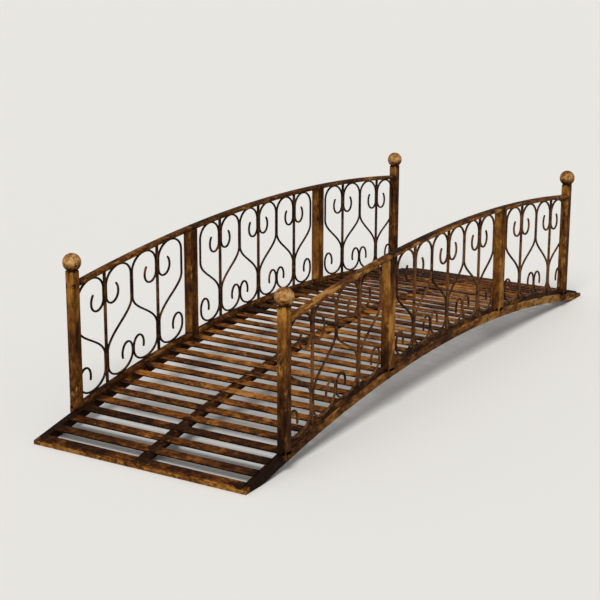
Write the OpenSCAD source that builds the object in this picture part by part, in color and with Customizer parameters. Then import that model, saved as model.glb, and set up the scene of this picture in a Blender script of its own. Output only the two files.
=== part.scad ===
/* Low-arched garden footbridge: a slatted steel deck on three arched beams,
   with a scrollwork railing on each side. Millimetres, Z up, ground at Z = 0,
   X along the bridge, Y across it. End a is at -X, end b at +X, left is +Y. */

/* [Deck] */
// Length of the deck from end to end
deck_len = 2230; // [1600:10:2600]
// Width of the deck, which is the length of a slat
deck_w = 650; // [480:10:800]
// Height of the deck's top at the middle
crown_z = 141; // [105:1:200]
// Height of the deck's top at its two ends
end_z = 16; // [15:0.5:26]
// Number of slats
slat_count = 38; // [24:2:50]
// Width of one slat
slat_w = 30; // [20:1:36]
// Thickness of one slat
slat_t = 5; // [3:0.5:8]

/* [Beams] */
// How far the slats' ends lie on a side beam
slat_rest = 6; // [4:1:12]
// Height of a side beam
side_beam_h = 28; // [18:1:34]
// Width of the beam along the middle
centre_beam_w = 36; // [24:1:50]
// Height of the beam along the middle
centre_beam_h = 12; // [8:1:14]
// Width of the bar across each end, which rests on the ground
end_bar_w = 20; // [14:1:30]

/* [Railing] */
// Distance of an end post from the end of the deck
end_post_inset = 183; // [120:1:300]
// Distance of a middle post from the middle of the bridge
mid_post_x = 376; // [280:1:460]
// Width of an end post, and the depth of every post
post_w = 28; // [18:1:34]
// Width of a middle post along the bridge
mid_post_w = 36; // [20:1:44]
// How far a post reaches below the deck's top
post_drop = 18; // [14:1:20]
// Height of the handrail's centre at the middle of the bridge
handrail_z = 467; // [380:1:620]
// How much lower the handrail's centre is at the end posts
handrail_fall = 67; // [20:1:100]
// Width of the handrail across the bridge
handrail_w = 24; // [14:1:28]
// Height of the handrail
handrail_h = 12; // [8:1:18]
// Diameter of a ball finial
ball_d = 52; // [36:1:66]
// Height of a ball's centre above the handrail's end
ball_rise = 66; // [44:1:80]

/* [Bottom rail] */
// Width of the bottom rail
rail_w = 16; // [12:1:20]
// Height of the bottom rail's top above the deck
rail_up = 9; // [4:1:14]

/* [Scrollwork] */
// Width of a scroll bar, seen from the side
bar_w = 6; // [4:0.5:9]
// Thickness of a scroll bar across the railing
bar_t = 6; // [4:0.5:9]
// Width of an upright baluster
baluster_w = 7.5; // [6:0.5:12]
// Gap between the scrolls and a middle post
scroll_gap = 29; // [10:1:45]
// Number of balusters in the middle bay
mid_balusters = 3; // [2:1:5]
// Number of balusters in an end bay
end_balusters = 2; // [1:1:4]
// How deep welded bars bite into each other
weld = 0.6; // [0.3:0.1:1.2]

/* [Hidden] */
half_len = deck_len / 2;
end_post_x = half_len - end_post_inset;
rise = crown_z - end_z;
deck_r = (half_len * half_len + rise * rise) / (2 * rise);
deck_cz = crown_z - deck_r;
half_angle = asin(half_len / deck_r);
slat_half_angle = asin(slat_w / 2 / deck_r);
pitch = 2 * (half_angle - slat_half_angle) / (slat_count - 1);

handrail_r = (end_post_x * end_post_x + handrail_fall * handrail_fall) / (2 * handrail_fall);
handrail_cz = handrail_z - handrail_r;

// The side beams reach out under the bottom rails, and the slats' ends rest on their inner edges.
// The posts stand on them and reach down in front of them.
beam_y1 = deck_w / 2 + rail_w;
beam_y0 = deck_w / 2 - slat_rest;
post_y = deck_w / 2 + post_w / 2;
end_face_x = end_post_x - post_w / 2;
mid_face_in = mid_post_x - mid_post_w / 2;
mid_face_out = mid_post_x + mid_post_w / 2;
ball_z = handrail_z - handrail_fall + ball_rise;
// The ball's flat seat on the post is as wide as nine tenths of the post
ball_seat_r = 0.45 * post_w;
post_top = ball_z - sqrt(pow(ball_d / 2, 2) - pow(ball_seat_r, 2));

// The beams stop at the end bars, which lie across them all
beam_end = half_len - end_bar_w;

// Height of the deck's top at x
function deck_z(x) = deck_cz + sqrt(deck_r * deck_r - x * x);
// Height of the handrail's centre at x
function hand_z(x) = handrail_cz + sqrt(handrail_r * handrail_r - x * x);
// Angle of a point of the handrail from the crown
function hand_angle(x) = asin(x / handrail_r);

// Stands a flat outline up in the XZ plane, from y0 to y1
module upright(y0, y1) {
    translate([0, y1, 0])
        rotate([90, 0, 0])
            linear_extrude(y1 - y0)
                children();
}

// Outline of an arched bar whose flat facets lie under the slats.
// Its top is up above the deck's surface and its height is h.
module arched_bar(up, h, x0, x1) {
    r_top = (deck_r + up) / cos(pitch / 2);
    r_low = (deck_r + up - h) / cos(pitch / 2);
    steps = [for (j = [0:slat_count]) (j - slat_count / 2) * pitch];
    intersection() {
        polygon(concat(
            [for (a = steps) [r_top * sin(a), deck_cz + r_top * cos(a)]],
            [for (j = [slat_count:-1:0]) [r_low * sin(steps[j]), deck_cz + r_low * cos(steps[j])]]
        ));
        translate([x0, 0])
            square([x1 - x0, 2 * crown_z]);
    }
}

// One side of the bridge mirrored to the other: s is 1 for left and -1 for right
module on_side(s) {
    if (s > 0) {
        children();
    } else {
        mirror([0, 1, 0])
            children();
    }
}

// One end of the bridge mirrored to the other: e is 1 for end b and -1 for end a
module on_end(e) {
    if (e > 0) {
        children();
    } else {
        mirror([1, 0, 0])
            children();
    }
}

module side_beam() {
    color("saddlebrown")
        upright(beam_y0, beam_y1)
            arched_bar(-slat_t, side_beam_h, -beam_end, beam_end);
}

module centre_beam() {
    color("saddlebrown")
        upright(-centre_beam_w / 2, centre_beam_w / 2)
            arched_bar(-slat_t, centre_beam_h, -beam_end, beam_end);
}

// The bar across the end fills the height between the ground and the last slat,
// and its top slopes with that slat. It is as wide as the two side beams reach.
module end_bar() {
    color("sienna")
        upright(-beam_y1, beam_y1)
            arched_bar(-slat_t, 2 * end_z, beam_end, half_len);
}

// Slats number first to last, counted from end a
module slats(first, last) {
    color("peru")
        for (i = [first:last]) {
            translate([0, 0, deck_cz])
                rotate([0, (i - (slat_count - 1) / 2) * pitch, 0])
                    translate([-slat_w / 2, -deck_w / 2, deck_r - slat_t])
                        cube([slat_w, deck_w, slat_t]);
        }
}

module end_post() {
    foot = deck_z(end_post_x) - post_drop;
    color("chocolate")
        difference() {
            translate([end_post_x - post_w / 2, post_y - post_w / 2, foot])
                cube([post_w, post_w, post_top - foot]);
            side_beam();
        }
}

module ball() {
    color("orange")
        translate([end_post_x, post_y, 0])
            intersection() {
                translate([0, 0, ball_z])
                    sphere(d = ball_d, $fn = 96);
                translate([-ball_d, -ball_d, post_top])
                    cube([2 * ball_d, 2 * ball_d, 2 * ball_d]);
            }
}

// The top of a middle post is cut to the arc of the handrail's underside
module mid_post() {
    foot = deck_z(mid_post_x) - post_drop;
    color("chocolate")
        intersection() {
            difference() {
                translate([mid_post_x - mid_post_w / 2, post_y - post_w / 2, foot])
                    cube([mid_post_w, post_w, handrail_z - foot]);
                side_beam();
            }
            translate([0, post_y, handrail_cz])
                rotate([90, 0, 0])
                    cylinder(r = handrail_r - handrail_h / 2, h = 2 * post_w, center = true, $fn = 256);
        }
}

// Flat bar bent along the handrail's arc, from angle a0 to angle a1 off the crown.
// It is drawn with an even number of facets, so that the crown of the middle length is a corner.
module bent_bar(a0, a1) {
    translate([0, post_y, handrail_cz])
        rotate([90, 0, 0])
            rotate([0, 0, 90 - a1])
                rotate_extrude(angle = a1 - a0, $fn = 7.5 * 360 / (a1 - a0))
                    translate([handrail_r - handrail_h / 2, -handrail_w / 2])
                        square([handrail_h, handrail_w]);
}

module handrail_middle() {
    color("brown")
        bent_bar(-hand_angle(mid_post_x), hand_angle(mid_post_x));
}

// The end length butts against the end post's face
module handrail_end() {
    color("brown")
        difference() {
            bent_bar(hand_angle(mid_post_x), hand_angle(end_post_x));
            translate([end_face_x, post_y - handrail_w, 0])
                cube([post_w, 2 * handrail_w, 2 * handrail_z]);
        }
}

// The bottom rail lies on the side beam, beside the ends of the slats
module bottom_rail(x0, x1) {
    color("sienna")
        upright(deck_w / 2, beam_y1)
            arched_bar(rail_up, rail_up + slat_t, x0, x1);
}

// Scroll bars are drawn as one line in a cell of 1 by 1. Across, 0 touches the
// baluster and 1 touches the next scroll or the end post. Up, 0 touches the bottom rail
// and 1 touches the handrail. Every stretch is an arc of an ellipse or an S curve.
arc_steps = 14;
hook_w = 0.24;
hook_v = 0.77;
hook_low = 0.085;
hook_high = 0.1;
hook_open = 50;
arch_v = 0.86;
sweep_high = 0.63;
sweep_low = 0.27;
turn_v = 0.13;
curl_w = 0.21;
curl_v = 0.15;
curl_h = 0.095;
curl_close = 205;

function ellipse_arc(cu, cv, ru, rv, a0, a1, n) =
    [for (i = [0:n]) let (a = a0 + (a1 - a0) * i / n) [cu + ru * cos(a), cv + rv * sin(a)]];
function bezier(p, q, r, s, n) =
    [for (i = [1:n - 1]) let (t = i / n, k = 1 - t)
        k * k * k * p + 3 * k * k * t * q + 3 * k * t * t * r + t * t * t * s];

scroll_line = concat(
    ellipse_arc(hook_w, hook_v, hook_w, hook_high, hook_open, 10, 4),
    ellipse_arc(hook_w, hook_v, hook_w, hook_low, 0, -180, arc_steps),
    ellipse_arc(0.5, arch_v, 0.5, 1 - arch_v, 180, 0, arc_steps),
    [[1, sweep_high]],
    bezier([1, sweep_high], [1, 0.5], [0.08, 0.42], [0, sweep_low], arc_steps),
    [[0, sweep_low]],
    ellipse_arc(0.5, turn_v, 0.5, turn_v, 180, 360, arc_steps),
    ellipse_arc(1 - curl_w, curl_v, curl_w, curl_h, 0, curl_close, arc_steps)
);

// Real height of the cell's line 0 and line 1 at x
function cell_low(x) = deck_z(x) + rail_up + bar_w / 2 - weld;
function cell_high(x) = hand_z(x) - handrail_h / 2 - bar_w / 2 + 2 * weld;
// A point of the scroll, s = 1 or -1, in the cell of the baluster at xb
function scroll_at(p, xb, half, s) =
    let (
        inner = baluster_w / 2 + bar_w / 2 - weld,
        outer = half - bar_w / 2 + weld / 2,
        x = xb + s * (inner + p[0] * (outer - inner))
    )
    [x, cell_low(x) + p[1] * (cell_high(x) - cell_low(x))];

function unit(v) = v / norm(v);
// Outline of a bar of width w along the line of points q
function ribbon(q, w) =
    let (
        n = len(q) - 1,
        side = [for (i = [0:n])
            let (d = unit(q[min(i + 1, n)] - q[max(i - 1, 0)])) [-d[1], d[0]] * w / 2]
    )
    concat([for (i = [0:n]) q[i] + side[i]], [for (i = [n:-1:0]) q[i] - side[i]]);

module scroll(xb, half, s) {
    polygon(ribbon([for (p = scroll_line) scroll_at(p, xb, half, s)], bar_w));
}

module scroll_panel(x0, x1, count) {
    cell = (x1 - x0) / count;
    color("dimgray") {
        upright(post_y - bar_t / 2, post_y + bar_t / 2)
            for (i = [0:count - 1]) {
                scroll(x0 + (i + 0.5) * cell, cell / 2, 1);
                scroll(x0 + (i + 0.5) * cell, cell / 2, -1);
            }
        for (i = [0:count - 1]) {
            xb = x0 + (i + 0.5) * cell;
            low = deck_z(xb) + rail_up - weld;
            translate([xb - baluster_w / 2, post_y - baluster_w / 2, low])
                cube([baluster_w, baluster_w, hand_z(xb) - handrail_h / 2 + 2 * weld - low]);
        }
    }
}

third = floor(slat_count / 3);

on_side(1) side_beam();  // side_beam_left
on_side(-1) side_beam();  // side_beam_right
centre_beam();
on_end(-1) end_bar();  // end_bar_a
on_end(1) end_bar();  // end_bar_b

slats(0, third - 1);  // slats_a
slats(third, slat_count - third - 1);  // slats_middle
slats(slat_count - third, slat_count - 1);  // slats_b

on_side(1) on_end(-1) end_post();  // end_post_left_a
on_side(1) on_end(1) end_post();  // end_post_left_b
on_side(-1) on_end(-1) end_post();  // end_post_right_a
on_side(-1) on_end(1) end_post();  // end_post_right_b

on_side(1) on_end(-1) ball();  // ball_left_a
on_side(1) on_end(1) ball();  // ball_left_b
on_side(-1) on_end(-1) ball();  // ball_right_a
on_side(-1) on_end(1) ball();  // ball_right_b

on_side(1) on_end(-1) mid_post();  // mid_post_left_a
on_side(1) on_end(1) mid_post();  // mid_post_left_b
on_side(-1) on_end(-1) mid_post();  // mid_post_right_a
on_side(-1) on_end(1) mid_post();  // mid_post_right_b

on_side(1) on_end(-1) handrail_end();  // handrail_left_a
on_side(1) handrail_middle();  // handrail_left_middle
on_side(1) on_end(1) handrail_end();  // handrail_left_b
on_side(-1) on_end(-1) handrail_end();  // handrail_right_a
on_side(-1) handrail_middle();  // handrail_right_middle
on_side(-1) on_end(1) handrail_end();  // handrail_right_b

on_side(1) on_end(-1) bottom_rail(mid_face_out, end_face_x);  // bottom_rail_left_a
on_side(1) bottom_rail(-mid_face_in, mid_face_in);  // bottom_rail_left_middle
on_side(1) on_end(1) bottom_rail(mid_face_out, end_face_x);  // bottom_rail_left_b
on_side(-1) on_end(-1) bottom_rail(mid_face_out, end_face_x);  // bottom_rail_right_a
on_side(-1) bottom_rail(-mid_face_in, mid_face_in);  // bottom_rail_right_middle
on_side(-1) on_end(1) bottom_rail(mid_face_out, end_face_x);  // bottom_rail_right_b

on_side(1) on_end(-1) scroll_panel(mid_face_out + scroll_gap, end_face_x, end_balusters);  // scroll_panel_left_a
on_side(1) scroll_panel(scroll_gap - mid_face_in, mid_face_in - scroll_gap, mid_balusters);  // scroll_panel_left_middle
on_side(1) on_end(1) scroll_panel(mid_face_out + scroll_gap, end_face_x, end_balusters);  // scroll_panel_left_b
on_side(-1) on_end(-1) scroll_panel(mid_face_out + scroll_gap, end_face_x, end_balusters);  // scroll_panel_right_a
on_side(-1) scroll_panel(scroll_gap - mid_face_in, mid_face_in - scroll_gap, mid_balusters);  // scroll_panel_right_middle
on_side(-1) on_end(1) scroll_panel(mid_face_out + scroll_gap, end_face_x, end_balusters);  // scroll_panel_right_b
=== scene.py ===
# %% [markdown]
# # An arched garden footbridge
# A low steel bridge for a garden: flat slats on three arched beams, square posts with ball
# finials, flat handrails and railings filled with scrolls. All of it has a dark brown baked
# coat, dabbed over with rust and old gold so that it looks like weathered iron. This script
# dresses the measured model, piece by piece, and works in metres.

# %% Load the measured model
import math

import bmesh
import bpy
import numpy as np
from mathutils import Matrix, Vector


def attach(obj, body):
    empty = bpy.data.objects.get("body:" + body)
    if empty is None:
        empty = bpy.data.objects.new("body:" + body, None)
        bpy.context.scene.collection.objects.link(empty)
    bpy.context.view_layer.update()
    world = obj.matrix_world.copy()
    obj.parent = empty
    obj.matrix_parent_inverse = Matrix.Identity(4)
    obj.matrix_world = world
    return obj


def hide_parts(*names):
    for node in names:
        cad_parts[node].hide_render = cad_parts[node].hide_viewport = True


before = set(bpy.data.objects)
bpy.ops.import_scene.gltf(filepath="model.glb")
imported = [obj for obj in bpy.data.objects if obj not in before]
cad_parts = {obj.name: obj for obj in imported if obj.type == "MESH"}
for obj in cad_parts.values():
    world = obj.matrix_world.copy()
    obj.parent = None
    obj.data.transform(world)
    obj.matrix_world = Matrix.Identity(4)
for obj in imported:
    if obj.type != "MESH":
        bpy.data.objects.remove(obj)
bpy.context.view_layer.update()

# %% [markdown]
# ## The camera
# The best picture of the bridge is taken from in front and to the right, a little above the
# handrails. A camera can be set by eye, but here its place, turn and lens were worked out from
# the posts, balls, handrails and deck edges, so each piece can be compared with the picture.

# %% Set the camera
azimuth, elevation, roll = (math.radians(v) for v in (-58.739, 15.297, 0.198))
level = math.cos(elevation)
back = Vector((math.sin(azimuth) * level, -math.cos(azimuth) * level, math.sin(elevation)))
right = (-back).cross(Vector((0, 0, 1))).normalized()
upward = right.cross(-back)
turned_right = right * math.cos(roll) + upward * math.sin(roll)
turned_up = upward * math.cos(roll) - right * math.sin(roll)

view = bpy.data.cameras.new("view")
view.sensor_width = 36.0
view.lens = 93.35
view.clip_end = 200.0
camera = bpy.data.objects.new("view", view)
turn = Matrix((turned_right, turned_up, back)).transposed().to_4x4()
camera.matrix_world = Matrix.Translation((-4.1092, -2.3137, 1.4816)) @ turn
bpy.context.scene.collection.objects.link(camera)
bpy.context.scene.camera = camera
print("camera", round(view.lens, 1), "mm, looking down", round(math.degrees(elevation), 1), "degrees")

# %% [markdown]
# ## Colours and nodes
# Colours are written as they look on a screen, in hex, and one function turns them into the
# linear values that shaders count with. Shaders are built from nodes, and one small function
# adds a node with its settings and its links.

# %% Colour and node helpers
def linear(code):
    """sRGB hex to linear: each channel is divided by 12.92 when dark, and otherwise is raised to the
    power 2.4 after an offset."""
    c = np.array([int(code[i:i + 2], 16) for i in (1, 3, 5)]) / 255
    c = np.where(c <= 0.04045, c / 12.92, ((c + 0.055) / 1.055) ** 2.4)
    return (*c.tolist(), 1.0)


def add_node(tree, kind, inputs=(), stops=(), **settings):
    """Adds a node, sets its properties and colour stops, and gives each input a value or a link."""
    node = tree.nodes.new(kind)
    for name, value in settings.items():
        setattr(node, name, value)
    for i, (place, code) in enumerate(stops):
        stop = node.color_ramp.elements[i] if i < 2 else node.color_ramp.elements.new(place)
        stop.position, stop.color = place, linear(code)
    for socket, value in dict(inputs).items():
        if isinstance(value, bpy.types.NodeSocket):
            tree.links.new(value, node.inputs[socket])
        else:
            node.inputs[socket].default_value = value
    return node


print("mid grey is", round(linear("#808080")[0], 3), "in linear light")

# %% [markdown]
# ## Floor and light
# A bridge in a catalogue stands on a plain sweep of pale paper under a large soft lamp. A broad
# sun lamp gives every part of the long bridge the same light, and the pale world fills its
# shadows. Their strengths add up so that a colour renders about as it is written.

# %% Floor
half_floor = 40.0
floor_mesh = bpy.data.meshes.new("studio_floor")
corners = [(x * half_floor, y * half_floor, 0) for x, y in ((-1, -1), (1, -1), (1, 1), (-1, 1))]
floor_mesh.from_pydata(corners, [], [(0, 1, 2, 3)])
floor = bpy.data.objects.new("studio_floor", floor_mesh)
bpy.context.scene.collection.objects.link(floor)
paper = bpy.data.materials.new("matt_studio_paper")
paper.use_nodes = True
sheet = paper.node_tree.nodes["Principled BSDF"]
sheet.inputs["Base Color"].default_value = linear("#e6e4df")
sheet.inputs["Roughness"].default_value = 0.9
floor_mesh.materials.append(paper)
print("floor", 2 * half_floor, "m square")

# %% Lamps and world
key_lamp = bpy.data.lights.new("key", "SUN")
key_lamp.energy = 2.4
key_lamp.angle = math.radians(24)
key = bpy.data.objects.new("key", key_lamp)
key.rotation_mode = "QUATERNION"
key.rotation_quaternion = Vector((-0.80, -0.34, 0.95)).to_track_quat("Z", "Y")
bpy.context.scene.collection.objects.link(key)

world = bpy.data.worlds.new("pale_studio")
bpy.context.scene.world = world
world.use_nodes = True
tree = world.node_tree
ray = add_node(tree, "ShaderNodeLightPath")
sees = ray.outputs["Is Camera Ray"]
for other in ("Is Transmission Ray", "Is Glossy Ray"):
    sees = add_node(tree, "ShaderNodeMath", {0: sees, 1: ray.outputs[other]}, operation="MAXIMUM").outputs[0]
fill = add_node(tree, "ShaderNodeBackground", {"Color": linear("#ffffff"), "Strength": 0.44})
pale = add_node(tree, "ShaderNodeBackground", {"Color": linear("#ebe9e5"), "Strength": 1.0})
both = add_node(tree, "ShaderNodeMixShader", {0: sees, 1: fill.outputs[0], 2: pale.outputs[0]})
tree.links.new(both.outputs[0], tree.nodes["World Output"].inputs["Surface"])
bpy.context.scene.view_settings.view_transform = "Standard"
print("one soft sun and a pale world")

# %% [markdown]
# ## The mottled coat
# The steel is coated in dark brown, then rust red, orange and old gold are dabbed over it by
# hand with a sponge, and soot brown is wiped into the corners. Painting that by hand would take
# a picture for each piece. Here it is built from clouds of noise whose sizes are those of the
# dabs. Three values that each piece carries steer it: how near an edge a point is, how much dirt
# and painted shade lies on it, and the tone of its face, which also carries painted shade on
# undersides, inner faces and faces between slats. So the dark layer that stands for the soot also
# paints shade. Gold is smoother and more metallic than the brown.

# %% Mottled coat
def mottled_coat(name, browns, gold, patch_mm, gold_from=0.56, gold_share=0.8, soot_and_shade_from=0.58,
                 gloss=(0.72, 0.46), metal=(0.05, 0.45), stretch=(1, 1, 1), contrast=2.4):
    """Brown is looked up at 0.5 plus contrast times the mean of three clouds' distance from 0.5, plus
    the tone, which also carries painted shade. Gold, and a near-black layer that is partly wiped-in
    brown-black and partly painted shade, are laid over it where their own clouds, moved by the tone
    and the dirt-and-shade value, pass a threshold. patch_mm is the size of a dab, and stretch below 1
    draws the dabs out along that axis."""
    coat = bpy.data.materials.new(name)
    coat.use_nodes = True
    tree = coat.node_tree
    tree.nodes.clear()
    here = add_node(tree, "ShaderNodeTexCoord").outputs["Object"]
    near_edge, grime_and_shade, tone = (
        add_node(tree, "ShaderNodeAttribute", attribute_name=label).outputs["Fac"]
        for label in ("edge", "grime_and_shade", "tone"))

    def cloud(mm, shift, detail=4.0, roughness=0.6):
        """Noise whose lumps are about mm across, moved by shift metres so that no two clouds match."""
        where = {"Vector": here, "Location": (shift, 2 * shift, 3 * shift), "Scale": stretch}
        place = add_node(tree, "ShaderNodeMapping", where).outputs[0]
        noise = {"Vector": place, "Scale": 1000 / mm, "Detail": detail, "Roughness": roughness}
        return add_node(tree, "ShaderNodeTexNoise", noise).outputs[0]

    def weigh(value, factor, added):
        """Value times factor plus added."""
        terms = {0: value, 1: factor, 2: added}
        return add_node(tree, "ShaderNodeMath", terms, operation="MULTIPLY_ADD").outputs[0]

    def between(value, low, high, to_low=0.0, to_high=1.0):
        """Smooth step of a value from low to high."""
        limits = {"Value": value, "From Min": low, "From Max": high, "To Min": to_low, "To Max": to_high}
        return add_node(tree, "ShaderNodeMapRange", limits, interpolation_type="SMOOTHSTEP").outputs[0]

    def laid_over(share, below, above):
        """Colour mix: share of above over below."""
        return add_node(tree, "ShaderNodeMix", {0: share, 6: below, 7: above}, data_type="RGBA").outputs[2]

    patch, slow, fleck = cloud(patch_mm, 0.3), cloud(patch_mm * 5, 0.7, 3.0), cloud(patch_mm / 3, 1.1, 3.0)
    value = weigh(patch, 0.5 * contrast, tone)
    value = weigh(slow, 0.25 * contrast, value)
    value = weigh(fleck, 0.25 * contrast, value)
    value = weigh(value, 1.0, 0.5 - 0.5 * contrast)
    brown = add_node(tree, "ShaderNodeValToRGB", {"Fac": value}, browns).outputs["Color"]
    rub = weigh(tone, 0.45, cloud(patch_mm * 1.5, 1.9, 5.0, 0.68))
    rub = weigh(near_edge, 0.05, weigh(grime_and_shade, -0.2, rub))
    rubbed = between(rub, gold_from, gold_from + 0.10, 0.0, gold_share)
    # The near-black layer is soot and painted shade: it grows where the dirt-and-shade value is high and
    # where the tone is low.
    soot_and_shade = weigh(grime_and_shade, 0.32, weigh(tone, -0.35, cloud(patch_mm * 0.8, 2.7, 4.0, 0.65)))
    sooty_and_shaded = between(soot_and_shade, soot_and_shade_from, soot_and_shade_from + 0.12, 0.0, 0.9)
    colour = laid_over(sooty_and_shaded, laid_over(rubbed, brown, linear(gold)), linear("#1b0e06"))
    # Brush grain of 2.2 mm, coarser than the real 1 mm, so that it shows
    grain = weigh(patch, 1.2, weigh(fleck, 0.7, cloud(2.2, 0.1, 2.0)))
    bump = add_node(tree, "ShaderNodeBump", {"Height": grain, "Strength": 0.35, "Distance": 0.0007})
    surface = add_node(tree, "ShaderNodeBsdfPrincipled", {
        "Base Color": colour,
        "Roughness": between(rubbed, 0.0, 1.0, *gloss),
        "Metallic": between(rubbed, 0.0, 1.0, *metal),
        "Specular IOR Level": 0.04,
        "Normal": bump.outputs[0],
    })
    ends = add_node(tree, "ShaderNodeOutputMaterial")
    tree.links.new(surface.outputs[0], ends.inputs["Surface"])
    return coat


def stops(places, *codes):
    """Pairs each place of a colour ramp with its colour."""
    return list(zip(places, codes))


five = (0.12, 0.34, 0.52, 0.70, 0.88)
# Posts: rust brown with orange and old gold dabs as broad as a thumb, drawn out along the post.
post_browns = stops(five, "#1d1006", "#41240e", "#694119", "#905f28", "#b07f3a")
post_coat = mottled_coat("rust_and_gold_post_coat", post_browns, "#ad7c39", 18,
                         gold_share=0.7, soot_and_shade_from=0.62, stretch=(1, 1, 0.45), contrast=1.75)
# Handrails: the same coat, darker, with the gold drawn out a little along the bar.
rail_browns = stops(five, "#180c05", "#3a1f0b", "#5f3916", "#885726", "#ab7a39")
rail_coat = mottled_coat("rust_brown_rail_coat", rail_browns, "#a97a38", 16,
                         soot_and_shade_from=0.6, stretch=(0.45, 1, 1), contrast=2.1)
# Slats: redder brown with orange dabs drawn out across the deck.
slat_browns = stops(five, "#1c0c04", "#44240c", "#714216", "#9a6027", "#b67e3c")
slat_coat = mottled_coat("rust_red_slat_coat", slat_browns, "#ab763b", 16,
                         soot_and_shade_from=0.61, stretch=(1, 0.55, 1), contrast=2.0)
# Beams: darker, with gold dabs on the outer faces.
beam_browns = stops(five, "#120904", "#301909", "#543112", "#7b4f21", "#9f7335")
beam_coat = mottled_coat("dark_rust_beam_coat", beam_browns, "#9d7436", 16,
                         soot_and_shade_from=0.6, stretch=(0.4, 1, 1), contrast=2.1)
# Scrolls: near-black brown with a little rust where a hand would rub it.
scroll_browns = stops((0.20, 0.45, 0.62, 0.85), "#0f0a07", "#20140c", "#3a2313", "#65401f")
scroll_coat = mottled_coat("near_black_scroll_coat", scroll_browns, "#70482a", 12,
                           gold_from=0.62, gold_share=0.6, gloss=(0.6, 0.45), metal=(0.05, 0.3))
# Balls: copper gold dabbed over rust.
ball_browns = stops((0.10, 0.32, 0.50, 0.70, 0.90), "#44200b", "#794c22", "#a67b49", "#c09a66", "#d4b17f")
ball_coat = mottled_coat("dabbed_copper_ball_coat", ball_browns, "#c8a16e", 11, gold_from=0.54,
                         gold_share=0.6, gloss=(0.62, 0.45), metal=(0.1, 0.35), contrast=1.8)
print("six coats of one family")

# %% [markdown]
# ## Shapes carried along a line
# Nearly every piece of the bridge is a bar: a small outline carried along a line. The arithmetic
# is done on whole arrays. A line of points is moved sideways and upwards by each point of the
# outline, which gives a grid of points, and neighbouring rows are joined with four-sided faces.
# Bars are better than cubes with a bevel, because the same code bends them to any curve.

# %% Outlines
def rounded_outline(width, height, radius, steps=3, soft=0.0018):
    """A rectangle with quarter circles at its corners. Beside each quarter lies one more point, so
    that the flats shade flat. Also gives how near an edge each point is and which way it faces."""
    turn = np.linspace(0, np.pi / 2, steps + 1)
    shape, near, faces = [], [], []
    for k, (sx, sy) in enumerate(((1, 1), (-1, 1), (-1, -1), (1, -1))):
        a = turn + k * np.pi / 2
        out = np.stack([np.cos(a), np.sin(a)], 1)
        arc = np.array((sx * (width / 2 - radius), sy * (height / 2 - radius))) + radius * out
        before, after = np.array((-out[0, 1], out[0, 0])), np.array((-out[-1, 1], out[-1, 0]))
        gap_before = min(soft, 0.35 * ((height if k % 2 == 0 else width) - 2 * radius))
        gap_after = min(soft, 0.35 * ((width if k % 2 == 0 else height) - 2 * radius))
        shape += [arc[:1] - before * gap_before, arc, arc[-1:] + after * gap_after]
        near += [[0.0], np.ones(steps + 1), [0.0]]
        faces += [out[:1], out, out[-1:]]
    return np.concatenate(shape), np.concatenate(near), np.concatenate(faces)


def face_tones(outline, plus_x=0.0, plus_y=0.0, minus_x=0.0, minus_y=0.0):
    """A tone for each of the outline's four flats: the squared share of each direction that a point
    faces, times that direction's tone."""
    shares = np.maximum(np.concatenate([outline[2], -outline[2]], 1), 0)
    return np.square(shares) @ np.array((plus_x, plus_y, minus_x, minus_y))


print(len(rounded_outline(0.028, 0.028, 0.003)[0]), "points round a post")

# %% Bars
def quads(rows, cols, wrap):
    """Four-sided faces between neighbouring rows of a grid whose rows are rings of cols points."""
    i, j = np.meshgrid(np.arange(rows if wrap else rows - 1), np.arange(cols), indexing="ij")
    ahead, beside = (i + 1) % rows, (j + 1) % cols
    ring = [i * cols + j, i * cols + beside, ahead * cols + beside, ahead * cols + j]
    return np.stack(ring, -1).reshape(-1, 4)


def bar(line, side, outline, scale=None, tone=0.0, grime_and_shade=0.0, closed=False):
    """Point = line + outline x times side + outline y times up, where up is the line's direction
    crossed with side. scale shrinks each row; tone and the dirt-and-shade value are spread over
    rows and outline points; closed joins the last row to the first."""
    shape, near = outline[:2]
    line = np.asarray(line, float)
    ahead = np.roll(line, -1, 0) - np.roll(line, 1, 0) if closed else np.gradient(line, axis=0)
    ahead /= np.linalg.norm(ahead, axis=1, keepdims=True)
    side = np.broadcast_to(np.asarray(side, float), line.shape)
    up = np.cross(ahead, side)
    up /= np.linalg.norm(up, axis=1, keepdims=True)
    size = np.ones(len(line)) if scale is None else np.asarray(scale, float)
    across = size[:, None, None] * shape[None]
    points = line[:, None] + across[..., :1] * side[:, None] + across[..., 1:] * up[:, None]
    rows, cols = points.shape[:2]
    faces = quads(rows, cols, closed).tolist()
    if not closed:
        faces += [list(range(cols)), list(range((rows - 1) * cols, rows * cols))]
    spread = [np.broadcast_to(np.asarray(v, float), (rows, cols)).ravel() for v in (near, grime_and_shade, tone)]
    return points.reshape(-1, 3), faces, *spread


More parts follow.
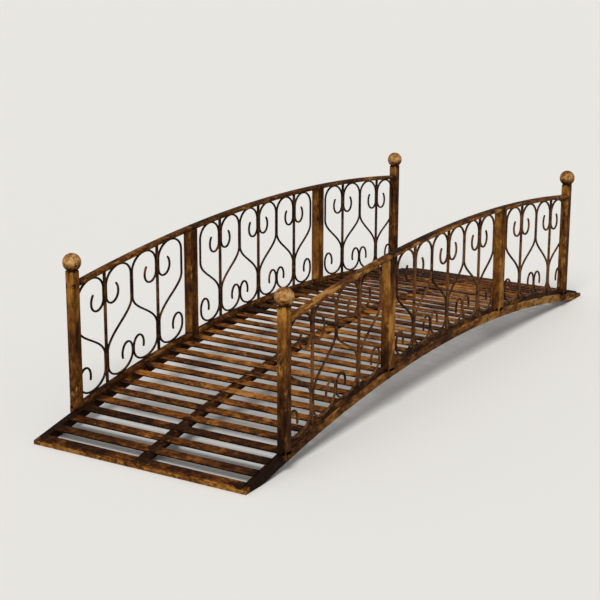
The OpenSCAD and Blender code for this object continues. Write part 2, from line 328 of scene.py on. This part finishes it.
def turned(radii, heights, count, place, axes=((1, 0, 0), (0, 1, 0), (0, 0, 1)), tone=0.0, grime_and_shade=0.0):
    """A shape turned on a lathe: each height's ring is (radius cos a, radius sin a, height), laid
    along three axes. Its first and last radius are 0, so each end closes in one point. Tone and the
    dirt-and-shade value may be given for each height."""
    a = np.linspace(0, 2 * np.pi, count, endpoint=False)
    r, h = np.asarray(radii, float), np.asarray(heights, float)
    level = np.broadcast_to(h[1:-1, None], (len(r) - 2, count))
    rings = np.stack([r[1:-1, None] * np.cos(a), r[1:-1, None] * np.sin(a), level], -1)
    local = np.concatenate([[[0, 0, h[0]]], rings.reshape(-1, 3), [[0, 0, h[-1]]]])
    points = local @ np.asarray(axes, float) + np.asarray(place, float)
    faces = (1 + quads(len(r) - 2, count, False)).tolist()
    j = np.arange(count)
    last = 1 + (len(r) - 3) * count
    faces += np.stack([np.zeros(count, int), 1 + (j + 1) % count, 1 + j], 1).tolist()
    faces += np.stack([np.full(count, len(points) - 1), last + j, last + (j + 1) % count], 1).tolist()
    spread = [np.broadcast_to(np.asarray(v, float), r.shape) for v in (grime_and_shade, tone)]
    spread = [np.concatenate([v[:1], np.repeat(v[1:-1], count), v[-1:]]) for v in spread]
    return points, faces, np.zeros(len(points)), *spread


def ended(a, b, near, first, last, count):
    """Numbers from a to b: one more lies close to each end, where a bar is drawn in, and count even
    ones run from first past a to last before b."""
    return np.concatenate([[a, a + near], np.linspace(a + first, b - last, count), [b - near, b]])


def drawn_in(count, share):
    """A scale of 1 for each row, and share for the first and the last."""
    scale = np.ones(count)
    scale[[0, -1]] = share
    return scale


def piece(name, parts, coat, slot, *stands_for):
    """Joins the parts into one mesh with their edge, dirt-and-shade and tone values, turns its faces
    outwards, and lets it stand for its measured nodes."""
    starts = np.cumsum([0] + [len(p[0]) for p in parts])
    mesh = bpy.data.meshes.new(name)
    faces = [[int(v) + int(start) for v in face] for start, p in zip(starts, parts) for face in p[1]]
    mesh.from_pydata(np.concatenate([p[0] for p in parts]).tolist(), [], faces)
    for k, label in ((2, "edge"), (3, "grime_and_shade"), (4, "tone")):
        values = np.concatenate([p[k] for p in parts]).astype(np.float32)
        mesh.attributes.new(label, "FLOAT", "POINT").data.foreach_set("value", values)
    work = bmesh.new()
    work.from_mesh(mesh)
    bmesh.ops.recalc_face_normals(work, faces=work.faces)
    work.to_mesh(mesh)
    work.free()
    mesh.shade_smooth()
    mesh.set_sharp_from_angle(angle=math.radians(50))
    mesh.materials.append(coat)
    made = bpy.data.objects.new(name, mesh)
    bpy.context.scene.collection.objects.link(made)
    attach(made, "root")
    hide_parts(*stands_for)
    return made


rng = np.random.default_rng(7)
print("bars and turned shapes are ready")

# %% [markdown]
# ## Welds
# The whole frame is welded, so wherever two bars meet there is a little raised bead. A long
# weld is a thin wavy rope laid round the joint. A short one is a small egg of metal.

# %% Beads and spots
bead_r = 0.0013
seven = np.arange(7) * 2 * np.pi / 7
bead_outline = (bead_r * np.stack([np.cos(seven), np.sin(seven)], 1), np.zeros(7))


def bead(outline, place, across, upright, size=1.0):
    """A closed rope round an outline: its middle line is place + x times across + y times upright,
    and its thickness swells with two sine waves."""
    place, across, upright = (np.asarray(v, float) for v in (place, across, upright))
    loop = place + outline[0][:, :1] * across + outline[0][:, 1:2] * upright
    gone = np.cumsum(np.linalg.norm(np.roll(loop, -1, 0) - loop, axis=1))
    total, turn = gone[-1], rng.uniform(0, 6)
    at = np.linspace(0, total, max(24, round(total / 0.0022)), endpoint=False)
    whole = np.concatenate([loop, loop[:1]])
    line = np.stack([np.interp(at, np.concatenate([[0], gone]), whole[:, k]) for k in range(3)], 1)
    round_it = 2 * np.pi * at / total
    ripples = np.round(total / 0.0065)
    swell = size * (1 + 0.22 * np.sin(ripples * round_it + turn) + 0.10 * np.sin(3 * round_it + 2 * turn))
    return bar(line, np.cross(across, upright), bead_outline, swell, -0.06, 0.55, closed=True)


def weld_spot(place, size):
    """A small egg of weld metal: rings of radius cos b at height sin b, stretched along three axes."""
    b = np.linspace(-math.pi / 2, math.pi / 2, 6)
    return turned(np.abs(np.cos(b)), np.sin(b), 8, place, np.diag(size), tone=-0.05, grime_and_shade=0.5)


print("welds are ready")

# %% [markdown]
# ## The arch
# The deck is a low arc of a very large circle, and the handrail is a flatter one above it. All
# pieces take their heights from these two arcs, so they meet wherever they cross.

# %% The two arcs
half_len, crown_z, end_z = 1.115, 0.141, 0.016
rise = crown_z - end_z
deck_r = (half_len ** 2 + rise ** 2) / (2 * rise)
deck_cz = crown_z - deck_r
end_post_x, mid_post_x, post_y = 0.932, 0.376, 0.339
hand_z0, hand_fall, hand_h = 0.467, 0.067, 0.012
hand_r = (end_post_x ** 2 + hand_fall ** 2) / (2 * hand_fall)
hand_cz = hand_z0 - hand_r


def deck_z(x):
    """Height of the deck's top at x: the circle's centre plus the root of r squared less x squared."""
    return deck_cz + np.sqrt(deck_r ** 2 - np.square(x))


def hand_z(x):
    """Height of the handrail's middle at x, by the same formula on its own circle."""
    return hand_cz + np.sqrt(hand_r ** 2 - np.square(x))


def arc_line(height, x0, x1, y, count, up=0.0):
    """Points at even steps of x on an arc, lifted by up."""
    x = np.linspace(x0, x1, count)
    return np.stack([x, np.full(count, y), height(x) + up], 1)


def blotches(count, reach, amount):
    """A slow random tone along a bar: random values at even places, joined by a smooth cosine blend."""
    at = np.linspace(0, reach, count)
    knots = rng.uniform(-amount, amount, int(reach) + 2)
    k = np.floor(at).astype(int)
    t = (1 - np.cos(np.pi * (at - k))) / 2
    return knots[k] * (1 - t) + knots[k + 1] * t


print("deck radius", round(deck_r, 3), "m, handrail radius", round(hand_r, 3), "m")

# %% [markdown]
# ## Slats
# The walkway is 38 strips of flat steel, each welded across the three beams. A strip that leaves
# the mill has slightly round edges, and handling leaves each one a hair out of line. Each slat
# is one bar with a tone of its own, and soot gathers over the beams and at the slat's ends. Its
# underside and the faces between slats carry painted shade, and so does the half of the deck
# beside the left railing.

# %% Slats
slat_count, slat_w, slat_t, half_deck = 38, 0.030, 0.005, 0.325
pitch = 2 * (math.asin(half_len / deck_r) - math.asin(slat_w / 2 / deck_r)) / (slat_count - 1)
slat_outline = rounded_outline(slat_w, slat_t, 0.0014, 3, 0.0015)
slat_y = ended(-half_deck, half_deck, 0.0006, 0.008, 0.008, 31)
slat_scale = drawn_in(len(slat_y), 0.955)
over_beams = ((0.330, 0.026, 1.0), (0.0, 0.024, 0.75))
slat_dirt = sum(g * np.exp(-np.square((np.abs(slat_y) - y) / w)) for y, w, g in over_beams)


def slat(i):
    """Slat i is turned about the arch's centre by its number of pitches from the middle. It is darker
    near the deck's ends. Its underside and its edges are darker as painted shade between the slats,
    apart from the first slat's bright front edge, and painted shade darkens the deck's left half."""
    a = (i - (slat_count - 1) / 2) * pitch
    out = deck_r - slat_t / 2 - 0.0004
    lean = rng.uniform(-0.0006, 0.0006) * slat_y / half_deck
    x, z = out * math.sin(a) + lean * math.cos(a), deck_cz + out * math.cos(a) - lean * math.sin(a)
    # Painted shade: a slat's -X face looks into the gap before it and is darker, most of all towards end a;
    # the first slat's open front edge is lighter.
    front = -0.28 + 0.24 * np.clip((i - 13) / 8, 0, 1) if i else 0.20
    trodden = -0.14 * np.clip((abs(i - 18.5) - 12.5) / 3, 0, 1)
    own = rng.uniform(-0.10, 0.10) if 0 < i < slat_count - 1 else -0.04
    left_shade = 0.07 + 0.06 * np.clip((i - 14) / 4, 0, 1)
    mottle = blotches(len(slat_y), 7, 0.12) - left_shade * np.clip(slat_y / 0.1, 0, 1)
    # face_tones paints shade: the underside is 0.3 darker and the +X face 0.14 darker.
    tone = trodden + own + mottle[:, None] + face_tones(slat_outline, -0.14, -0.3, front)[None]
    line = np.stack([x, slat_y, z], 1)
    return bar(line, (math.cos(a), 0, -math.sin(a)), slat_outline, slat_scale, tone, slat_dirt[:, None])


def slat_welds(i):
    """Spots where slat i meets the beams: three beams, and one on each edge of the slat."""
    a = (i - (slat_count - 1) / 2) * pitch
    out, spots = deck_r - slat_t, []
    for y, long in ((-0.3225, 0.0030), (0.0, 0.0080), (0.3225, 0.0030)):
        for s in (-1, 1):
            along = s * slat_w / 2
            x, z = out * math.sin(a) + along * math.cos(a), deck_cz + out * math.cos(a) - along * math.sin(a)
            spots.append(weld_spot((x, y, z), (0.0016, long, 0.0016)))
    return spots


for group, first, last in (("a", 0, 11), ("middle", 12, 25), ("b", 26, 37)):
    strips = [slat(i) for i in range(first, last + 1)]
    welds = [spot for i in range(max(first, 1), min(last, 36) + 1) for spot in slat_welds(i)]
    made = piece(f"deck_slats_{group}", strips + welds, slat_coat, "slat_steel", f"slats_{group}")
    print(made.name, len(made.data.polygons), "faces")

# %% [markdown]
# ## Beams
# Two tall side beams and a wide, thin one along the middle carry the slats, and a bar lies
# across each end on the ground. They are rolled steel with round corners. Where a side beam
# comes down to the ground its lower edge is cut level, so its outline grows shorter there.

# %% Beams and end bars
def level_cut_beam(y, width, height, x_end, top, tones, shade_and_patina_along):
    """A bar whose top follows the deck and whose underside follows it too, but never goes below the
    ground. Each row's outline is squeezed between the two heights. The last argument gives places
    along the bar and their tones, which hold patina and painted shade towards end a."""
    shape, near, facing = outline = rounded_outline(width, height, 0.0025)
    x = ended(-x_end, x_end, 0.0008, 0.01, 0.01, 120)
    high = deck_z(x) + top
    low = np.maximum(high - height, 0.0)
    inset = drawn_in(len(x), 0.94)
    tall = (high - low) * inset
    z = (high + low)[:, None] / 2 + shape[None, :, 1] / height * tall[:, None]
    points = np.stack([np.broadcast_to(x[:, None], z.shape), y + shape[None, :, 0] * inset[:, None], z], -1)
    flat = bar(np.stack([x, np.zeros(len(x)), np.zeros(len(x))], 1), (0, 1, 0), outline)
    past_end, past_middle = np.abs(x) - end_post_x, np.abs(x) - mid_post_x
    # Darker where a post stands on the beam, from dirt and painted shade; past the end posts, painted shade
    # darkens the beam as it nears the ground.
    dirt_and_shade = 0.5 * np.exp(-np.square(past_end / 0.03)) + 0.4 * np.exp(-np.square(past_middle / 0.03))
    dirt_and_shade += 0.9 * np.clip(past_end / 0.12, 0, 1)
    along = blotches(len(x), 26, 0.14) + np.interp(x, *shade_and_patina_along)
    tone = along[:, None] + face_tones(outline, *tones)[None]
    spread = [np.broadcast_to(v, z.shape).ravel() for v in (near[None], dirt_and_shade[:, None], tone)]
    return points.reshape(-1, 3), flat[1], *spread


ground_bar_w = 0.020
beam_end = half_len - ground_bar_w
beam_y0, beam_y1 = 0.319, 0.341
# Tones along a side beam: patina, with painted shade near the ground at end a.
shade_and_patina_along = ((-1.1, -0.95, -0.85, -0.4, 0.0, 0.25, 1.1), (-0.40, -0.36, -0.14, -0.05, -0.18, 0.05, 0.08))
for s, side in ((1, "left"), (-1, "right")):
    # Painted shade: a side beam's inner face, top and underside are darker than its outer face.
    tones = (0.08 if s > 0 else -0.06, -0.1, 0.08 if s < 0 else -0.06, -0.3)
    place = (s * (beam_y0 + beam_y1) / 2, beam_y1 - beam_y0, 0.028, beam_end, -slat_t)
    made = level_cut_beam(*place, tones, shade_and_patina_along)
    piece(f"deck_beam_{side}", [made], beam_coat, "beam_steel", f"side_beam_{side}")
# Painted shade: the middle beam lies under the deck, so its sides and underside are darker, and darker still
# towards end a.
tones, shade_and_patina_along = (-0.16, 0.0, -0.16, -0.3), ((-1.1, -0.5, 0.0, 1.1), (-0.25, -0.10, 0.0, 0.0))
made = level_cut_beam(0.0, 0.036, 0.012, beam_end, -slat_t, tones, shade_and_patina_along)
piece("deck_beam_middle", [made], beam_coat, "beam_steel", "centre_beam")

# A ground bar's top slopes with the deck, so its outline is as tall at each side as the deck is there
for e, end in ((-1, "a"), (1, "b")):
    inner, outer = float(deck_z(beam_end)) - slat_t, float(deck_z(half_len)) - slat_t
    middle_x, middle_z = (beam_end + half_len) / 2, (inner + outer) / 4
    shape, near, facing = rounded_outline(ground_bar_w, 1.0, 0.0015)
    tall = outer + (inner - outer) * (0.5 - shape[:, 0] / ground_bar_w)
    half = np.sign(shape[:, 1]) * (tall / 2 - (0.5 - np.abs(shape[:, 1])))
    shape = np.stack([shape[:, 0], np.clip(half, -tall / 2, tall / 2) + tall / 2 - middle_z], 1)
    y = ended(-beam_y1, beam_y1, 0.0008, 0.01, 0.01, 40)
    line = np.stack([np.full(len(y), e * middle_x), y, np.full(len(y), middle_z)], 1)
    tone = blotches(len(y), 12, 0.10)[:, None] + np.square(np.maximum(facing[:, 0], 0))[None] * 0.10
    made = bar(line, (e, 0, 0), (shape * (1, -e), near), drawn_in(len(y), 0.94), tone, 0.1)
    piece(f"ground_bar_{end}", [made], beam_coat, "beam_steel", f"end_bar_{end}")
print("three beams and two ground bars")

# %% [markdown]
# ## Posts and balls
# The posts are square tube. Each stands on a side beam, and its outer wall reaches down in front
# of the beam, where a dome-headed bolt holds it. Each end post carries a pressed steel ball on a
# small washer, and a middle post stops under the handrail. A ball pressed in two halves keeps a
# faint line round its middle.

# %% Posts
post_w, mid_post_w = 0.028, 0.036
outer_y = post_y + post_w / 2
wall = outer_y - beam_y1


def post(x, y, top, outline, tones, neck):
    """A tube from the beam's top up, darker at its foot. A middle post gets painted shade towards its
    top, under the handrail, and an end post gets painted shade at its neck under the ball and where
    the handrail meets it. The tone of each side is read between its values at the foot, at half
    height and at the top."""
    foot = float(deck_z(x)) - slat_t
    z = ended(foot, top, 0.0012, 0.006, 0.004, 46)
    dirt_and_shade = 0.4 * np.exp(-(z - foot) / 0.014)
    # Painted shade: under the handrail on a middle post; under the ball and at the handrail on an end post.
    if not neck:
        dirt_and_shade += 0.5 * np.exp(-(top - z) / 0.02)
    else:
        dirt_and_shade += 0.9 * np.exp(-(top - z) / 0.006) + 0.5 * np.exp(-np.square((z - float(hand_z(x))) / 0.010))
    line = np.stack([np.full(len(z), x), np.full(len(z), y), z], 1)
    heights = (foot, (foot + top) / 2, top)
    tone = blotches(len(z), 6, 0.06)[:, None]
    for side_tones, mark in zip(tones, np.eye(4)):
        tone = tone + np.interp(z, heights, side_tones)[:, None] * face_tones(outline, *mark)[None]
    return bar(line, (0, 1, 0), outline, drawn_in(len(z), 0.94), tone, dirt_and_shade[:, None])


def lip(x, s, width, tone):
    """The outer wall of a post that reaches down in front of the beam."""
    low, high = float(deck_z(x)) - 0.018, float(deck_z(x)) + 0.004
    z = np.array([low, low + 0.0008, low + 0.006, high])
    line = np.stack([np.full(4, x), np.full(4, s * (outer_y - wall / 2)), z], 1)
    return bar(line, (0, 1, 0), rounded_outline(wall, width, 0.0012, 2, 0.0008), (0.94, 1, 1, 1), tone, 0.1)


def bolt(x, s):
    """A dome head with a thin flange, turned about Y and pointing outwards."""
    b = np.linspace(0, math.pi / 2, 7)
    radii = (0, 0.0050, 0.0052, 0.0050, *(0.0040 * np.cos(b[:-1])), 0)
    heights = (-0.0005, -0.0005, 0.0004, 0.0010, *(0.0010 + 0.0018 * np.sin(b)))
    place = (x, s * outer_y, float(deck_z(x)) - 0.0085)
    dirt_and_shade = (0.8, 0.8, 0.6, 0.3) + (0.1,) * 7
    return turned(radii, heights, 16, place, ((1, 0, 0), (0, 0, 1), (0, s, 0)), grime_and_shade=dirt_and_shade)


# Tones of a post's sides (+Y, -X, -Y, +X), each at the foot, at half height and at the top, for the
# four posts of a railing from end a to end b. A side that isn't in the picture is plain. Besides
# patina, they hold painted shade: the left posts' inner -Y faces are darker, and the right middle
# posts' -Y faces darken towards the top, under the handrail.
plain = (-0.12, -0.04, 0.02)
left_tones = (
    (plain, (-0.06, -0.09, 0.04), (0.00, -0.08, -0.02), plain),
    (plain, (0.02, -0.16, -0.07), (-0.06, -0.12, -0.20), plain),
    (plain, (0.08, -0.04, 0.10), (-0.04, -0.04, -0.10), plain),
    (plain, (-0.10, -0.05, 0.00), (-0.15, -0.15, -0.14), plain),
)
right_tones = (
    (plain, (-0.27, -0.13, 0.16), (-0.10, -0.16, 0.04), plain),
    (plain, (-0.26, -0.08, 0.34), (-0.04, 0.12, -0.20), plain),
    (plain, (-0.22, 0.06, 0.08), (0.00, 0.09, -0.22), plain),
    (plain, (-0.22, 0.02, 0.08), (-0.18, -0.12, -0.10), plain),
)
tube_outline = rounded_outline(post_w, post_w, 0.003, 4)
mid_outline = rounded_outline(post_w, mid_post_w, 0.003, 4)
ball_z = hand_z0 - hand_fall + 0.066
ball_r, seat_r = 0.0257, 0.45 * post_w
post_top = ball_z - math.sqrt(0.026 ** 2 - seat_r ** 2)
for s, side, tones in ((1, "left", left_tones), (-1, "right", right_tones)):
    for e, end, far, near_one in ((-1, "a", 0, 1), (1, "b", 3, 2)):
        x, y = e * end_post_x, s * post_y
        parts = [post(x, y, post_top, tube_outline, tones[far], True)]
        parts += [lip(x, s, post_w, tones[far][1 - s][0]), bolt(x, s)]
        piece(f"corner_post_{side}_{end}", parts, post_coat, "post_steel", f"end_post_{side}_{end}")
        x = e * mid_post_x
        top = float(hand_z(x)) - hand_h / 2
        parts = [post(x, y, top, mid_outline, tones[near_one], False)]
        parts += [lip(x, s, mid_post_w, tones[near_one][1 - s][0]), bolt(x, s)]
        parts.append(bead(mid_outline, (x, y, top - 0.0004), (0, 1, 0), (-1, 0, 0), 0.9))
        piece(f"inner_post_{side}_{end}", parts, post_coat, "post_steel", f"mid_post_{side}_{end}")
print("eight posts, the tall ones", round(post_top, 3), "m high")

# %% Ball finials
bend = np.linspace(-math.acos(seat_r / ball_r), math.pi / 2, 44)
ball_heights = ball_r * np.sin(bend)
ball_radii = ball_r * np.cos(bend) - 0.0003 * np.exp(-np.square(ball_heights / 0.0006))
ball_radii[-1] = 0.0
# Painted shade and some dirt darken the ball towards its seat on the post; its tones also paint shade on the
# lower part and the top, so that a belt above the middle stays lightest.
ball_shade_and_dirt = 0.9 * np.exp(-(ball_heights - ball_heights[0]) / 0.0075)
ball_share = ball_heights / ball_r
ball_shade_tones = 0.04 - 0.34 * np.clip(0.15 - ball_share, 0, 1) - 0.22 * np.clip(ball_share - 0.3, 0, 1)
for s, side in ((1, "left"), (-1, "right")):
    for e, end, lift in ((-1, "a", -0.02), (1, "b", 0.03 * s - 0.06)):
        centre = (e * end_post_x, s * post_y, ball_z)
        whole = turned([0, *ball_radii], [ball_heights[0], *ball_heights], 56, centre,
                       tone=[-0.3, *(ball_shade_tones + lift)], grime_and_shade=[1.0, *ball_shade_and_dirt])
        rim = (0.0, 0.0138, 0.0146, 0.0146, 0.0138, 0.0)
        rise_of_rim = (0.0, 0.0, 0.0005, 0.0015, 0.0020, 0.0020)
        # The washer is made dark: a line of painted shade under the ball.
        washer = turned(rim, rise_of_rim, 40, (centre[0], centre[1], post_top), tone=-0.2, grime_and_shade=1.0)
        piece(f"finial_{side}_{end}", [whole, washer], ball_coat, "ball_copper", f"ball_{side}_{end}")
print("four balls of", round(2000 * ball_r), "mm")

# %% [markdown]
# ## Handrails and bottom rails
# The handrail is a flat bar with round edges, cut in three lengths a side. It is welded to the
# end posts, and a fine dark groove shows where two lengths meet over a middle post. The bottom
# rail is a low bar on the side beam, between the posts.

# %% Handrails
hand_outline = rounded_outline(0.024, hand_h, 0.0035, 4)


def hand_length(x0, x1, y, tops):
    """Bar along the handrail's arc, its end rows drawn in by 0.6 mm. The tone of its top goes evenly
    from the first of tops to the last, and its underside is darker, as painted shade."""
    x = ended(x0, x1, 0.0006, 0.01, 0.01, 48)
    line = np.stack([x, np.full(len(x), y), hand_z(x)], 1)
    dirt_and_shade = 0.8 * np.exp(-(x - x0) / 0.008) + 0.8 * np.exp(-(x1 - x) / 0.008)
    # Painted shade: the underside is 0.3 darker.
    sides = face_tones(hand_outline, -0.12, 0.0, -0.08 if y > 0 else 0.04, -0.3)
    tone = blotches(len(x), 8, 0.08)[:, None] + sides[None]
    tone = tone + np.linspace(*tops, len(x))[:, None] * face_tones(hand_outline, plus_y=1.0)[None]
    return bar(line, (0, 1, 0), hand_outline, drawn_in(len(x), 0.93), tone, dirt_and_shade[:, None])


end_face_x = end_post_x - post_w / 2
joins = (-end_face_x, -mid_post_x, mid_post_x, end_face_x)
left_tops = ((-0.14, -0.04), (-0.24, -0.12), (-0.28, -0.08))
right_tops = ((0.22, -0.04), (-0.34, -0.12), (-0.24, 0.02))
for s, side, top_tones in ((1, "left", left_tops), (-1, "right", right_tops)):
    y = s * post_y
    for part, x0, x1, tops in zip(("a", "middle", "b"), joins, joins[1:], top_tones):
        parts = [hand_length(x0, x1, y, tops)]
        if part != "middle":
            place = (x0 if part == "a" else x1, y, float(hand_z(end_face_x)))
            parts.append(bead(hand_outline, place, (0, 1, 0), (0, 0, 1)))
        piece(f"grip_{side}_{part}", parts, rail_coat, "rail_steel", f"handrail_{side}_{part}")
print("six flat bars")

# %% Bottom rails
rail_w, rail_up = 0.016, 0.009
rail_h = rail_up + slat_t
rail_outline = rounded_outline(rail_w, rail_h, 0.002)
curb_bead = (rail_outline[0] * (0.8, 0.85), rail_outline[1])
mid_in, mid_out = mid_post_x - mid_post_w / 2, mid_post_x + mid_post_w / 2
bays = (("a", -end_face_x, -mid_out), ("middle", -mid_in, mid_in), ("b", mid_out, end_face_x))
for s, side in ((1, "left"), (-1, "right")):
    # Painted shade: the underside, resting on the beam, is 0.2 darker.
    sides = face_tones(rail_outline, -0.16 if s > 0 else 0.0, -0.12, 0.0 if s > 0 else -0.16, -0.2)
    for part, x0, x1 in bays:
        y = s * (half_deck + rail_w / 2)
        line = arc_line(deck_z, x0, x1, y, 60, rail_up - rail_h / 2)
        tone = blotches(60, 9, 0.10)[:, None] + sides[None]
        parts = [bar(line, (0, 1, 0), rail_outline, None, tone, 0.18)]
        parts += [bead(curb_bead, place, (0, 1, 0), (0, 0, 1), 0.85) for place in (line[0], line[-1])]
        piece(f"curb_{side}_{part}", parts, rail_coat, "rail_steel", f"bottom_rail_{side}_{part}")
print("six bottom rails")

# %% [markdown]
# ## Scrollwork
# Each railing panel has two or three upright balusters, and on each side of a baluster one bar
# is bent cold round a jig: a hook, an arch that touches the handrail, a long S back to the
# baluster, a turn on the bottom rail and a small curl. The bend is written once in a cell of
# 1 by 1, as arcs of ellipses and one S curve, and is then fitted to each place between the two
# arcs. Small welds hold it wherever it touches.

# %% The scroll's line
def ellipse(cu, cv, ru, rv, a0, a1, count=40):
    """Points of an ellipse's arc about (cu, cv), by angle in degrees."""
    a = np.radians(np.linspace(a0, a1, count))
    return np.stack([cu + ru * np.cos(a), cv + rv * np.sin(a)], 1)


def s_curve(p, q, r, s, count=60):
    """Cubic curve from p to s, pulled towards q and r: weights k cubed, 3 k k t, 3 k t t and t cubed."""
    t = np.linspace(0, 1, count)[:, None]
    k = 1 - t
    p, q, r, s = np.array((p, q, r, s), float)
    return k ** 3 * p + 3 * k * k * t * q + 3 * k * t * t * r + t ** 3 * s


def even_steps(line, step):
    """The same line with its points spread evenly along its length."""
    gone = np.concatenate([[0], np.cumsum(np.linalg.norm(np.diff(line, axis=0), axis=1))])
    keep = np.concatenate([[True], np.diff(gone) > 1e-9])
    at = np.linspace(0, gone[-1], max(8, round(gone[-1] / step)))
    return np.stack([np.interp(at, gone[keep], line[keep, k]) for k in range(line.shape[1])], 1)


scroll_cell = np.concatenate([
    ellipse(0.24, 0.77, 0.24, 0.10, 50, 0),
    ellipse(0.24, 0.77, 0.24, 0.085, 0, -180),
    ellipse(0.5, 0.86, 0.5, 0.14, 180, 0),
    s_curve((1, 0.63), (1, 0.50), (0.08, 0.42), (0, 0.27)),
    ellipse(0.5, 0.13, 0.5, 0.13, 180, 360),
    ellipse(0.79, 0.15, 0.21, 0.095, 0, 205),
])
print(len(scroll_cell), "points drawn for one scroll")

# %% Panels
bar_w, baluster_w, weld, scroll_gap = 0.006, 0.0075, 0.0006, 0.029
rod_outline = rounded_outline(bar_w, bar_w, 0.0019, 2, 0.0004)
baluster_outline = rounded_outline(baluster_w, baluster_w, 0.0014, 2, 0.0005)


def fitted(uv, xb, half, s, y):
    """Cell point (u, v) to metres: x is the baluster's, plus or minus the share u of the half bay; z
    is the share v from the bottom rail to the handrail."""
    inner, outer = baluster_w / 2 + bar_w / 2 - weld, half - bar_w / 2 + weld / 2
    x = xb + s * (inner + uv[:, 0] * (outer - inner))
    low = deck_z(x) + rail_up + bar_w / 2 - weld
    high = hand_z(x) - hand_h / 2 - bar_w / 2 + 2 * weld
    return np.stack([x, np.full(len(x), y), low + uv[:, 1] * (high - low)], 1)


def scroll(xb, half, s, y, tone):
    """One bent bar with both ends slightly drawn in and a slow change of tone along it."""
    line = even_steps(fitted(scroll_cell, xb, half, s, y), 0.0045)
    mottle = tone + blotches(len(line), 9, 0.12)[:, None]
    return bar(line, (0, 1, 0), rod_outline, drawn_in(len(line), 0.8), mottle)


def baluster(xb, y, tone):
    """Upright square bar from the bottom rail into the handrail."""
    low, high = float(deck_z(xb)) + rail_up - weld, float(hand_z(xb)) - hand_h / 2 + 2 * weld
    z = np.linspace(low, high, 26)
    dirt_and_shade = 0.8 * (np.exp(-(z - low) / 0.01) + np.exp(-(high - z) / 0.01))
    line = np.stack([np.full(26, xb), np.full(26, y), z], 1)
    mottle = 0.10 + tone + blotches(26, 4, 0.10)
    return bar(line, (0, 1, 0), baluster_outline, None, mottle[:, None], dirt_and_shade[:, None])


# Where a scroll touches something: place in the cell and half sizes of the weld spot
touches = (
    (0, 0.79, (0.0018, 0.0031, 0.0065)),
    (0, 0.235, (0.0018, 0.0031, 0.0080)),
    (0.5, 1.0, (0.0060, 0.0031, 0.0021)),
    (0.5, 0.0, (0.0060, 0.0031, 0.0021)),
    (1, 0.15, (0.0016, 0.0030, 0.0055)),
    (1, 0.745, (0.0016, 0.0030, 0.0080)),
)


def panel(x0, x1, count, y, free, tone):
    """All bars of one panel, with a weld at each touch. A scroll in free stands clear of its post."""
    cell = (x1 - x0) / count
    parts = []
    for i in range(count):
        xb = x0 + (i + 0.5) * cell
        parts.append(baluster(xb, y, tone))
        for foot in (float(deck_z(xb)) + rail_up, float(hand_z(xb)) - hand_h / 2):
            parts.append(weld_spot((xb, y, foot), (0.0054, 0.0050, 0.0016)))
        for s in (1, -1):
            parts.append(scroll(xb, cell / 2, s, y, tone))
            for u, v, size in touches:
                if u == 1 and (s, i) in free:
                    continue
                spot = fitted(np.array([[u, v]]), xb, cell / 2, s, y)[0]
                if u == 0:
                    spot[0] = xb + s * baluster_w / 2
                elif u == 1:
                    spot[0] = xb + s * cell / 2
                else:
                    spot[2] += (bar_w / 2 - weld) * (1 if v else -1)
                parts.append(weld_spot(spot, size))
    return parts


# Each panel's two ends, its count of balusters, and its free scrolls as side and baluster
panels = (
    ("a", -end_face_x, -mid_out - scroll_gap, 2, ((1, 1),)),
    ("middle", scroll_gap - mid_in, mid_in - scroll_gap, 3, ((-1, 0), (1, 2))),
    ("b", mid_out + scroll_gap, end_face_x, 2, ((-1, 0),)),
)
for s, side, tone in ((1, "left", 0.0), (-1, "right", 0.16)):
    for part, x0, x1, count, free in panels:
        bars = panel(x0, x1, count, s * post_y, free, tone)
        node = f"scroll_panel_{side}_{part}"
        made = piece(f"scrollwork_{side}_{part}", bars, scroll_coat, "scroll_steel", node)
        print(made.name, len(made.data.polygons), "faces")
